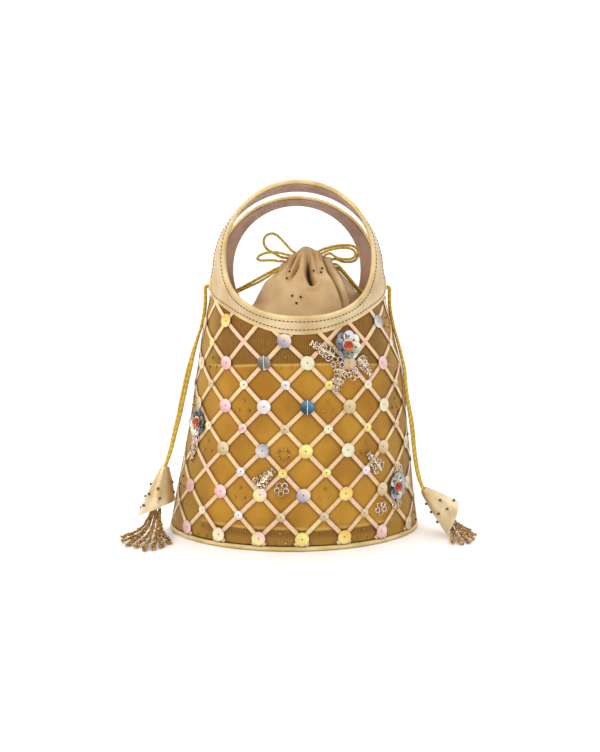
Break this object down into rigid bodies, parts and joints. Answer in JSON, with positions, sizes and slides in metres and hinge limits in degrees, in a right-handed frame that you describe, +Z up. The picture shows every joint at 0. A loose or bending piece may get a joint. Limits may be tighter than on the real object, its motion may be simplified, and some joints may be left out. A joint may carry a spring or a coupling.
{
  "type": "potli bag",
  "caption": "Oval potli bag with arched leather handles, a gathered drawstring pouch, a ribbon lattice with sequins, and bead tassels.",
  "frame": {"origin": "middle of the base's under side, on the surface that the bag stands on", "axes": "+Z up, front face towards -Y, +X to the right in the picture"},
  "size_m": [0.2676, 0.1164, 0.2697],
  "materials": {
    "amber_satin": "satin under ribbed gold gauze",
    "gold_leather": "pale gold, soft sheen",
    "gold_piping": "warm gold, soft sheen",
    "rosy_lining": "matt",
    "peach_ribbon": "satin",
    "taupe_satin": "satin",
    "gold_cord": "twisted, glossy",
    "silver_sequin": "pearly gloss",
    "gold_wire": "polished",
    "bronze_bead": "metallic gloss",
    "board_cloth": "matt",
    "brass": "polished"
  },
  "bodies": {
    "root": {"base_board": "board_cloth", "base_piping": "gold_piping", "front_panel": "amber_satin", "back_panel": "amber_satin", "front_ring": "gold_leather", "front_ring_lining": "rosy_lining", "front_opening_piping": "gold_piping", "front_edge_piping": "gold_piping", "front_lattice": "peach_ribbon", "back_ring": "gold_leather", "back_ring_lining": "rosy_lining", "back_opening_piping": "gold_piping", "back_edge_piping": "gold_piping", "back_lattice": "peach_ribbon", "left_side_patch": "gold_leather", "left_cone": "gold_leather", "left_seam_ribbon": "peach_ribbon", "left_eyelet": "brass", "left_cord_outer_a": "gold_cord", "left_cord_outer_b": "gold_cord", "left_cord_inner_a": "gold_cord", "left_cord_inner_b": "gold_cord", "left_bow_high": "gold_cord", "left_bow_flat": "gold_cord", "left_bead_strands": "bronze_bead", "right_side_patch": "gold_leather", "right_cone": "gold_leather", "right_seam_ribbon": "peach_ribbon", "right_eyelet": "brass", "right_cord_outer_a": "gold_cord", "right_cord_outer_b": "gold_cord", "right_cord_inner_a": "gold_cord", "right_cord_inner_b": "gold_cord", "right_bow_high": "gold_cord", "right_bow_flat": "gold_cord", "right_bead_strands": "bronze_bead", "flower_top_right": "silver_sequin", "flower_left": "silver_sequin", "flower_lower_right": "silver_sequin", "spray_upper_left": "gold_wire", "spray_upper_right": "gold_wire", "spray_upper_foot": "gold_wire", "spray_lower_left": "gold_wire", "spray_lower_right": "gold_wire", "wire_flower_upper": "gold_wire", "wire_flower_middle": "gold_wire", "wire_flower_lower": "gold_wire", "pouch": "taupe_satin"}
  },
  "joints": []
}
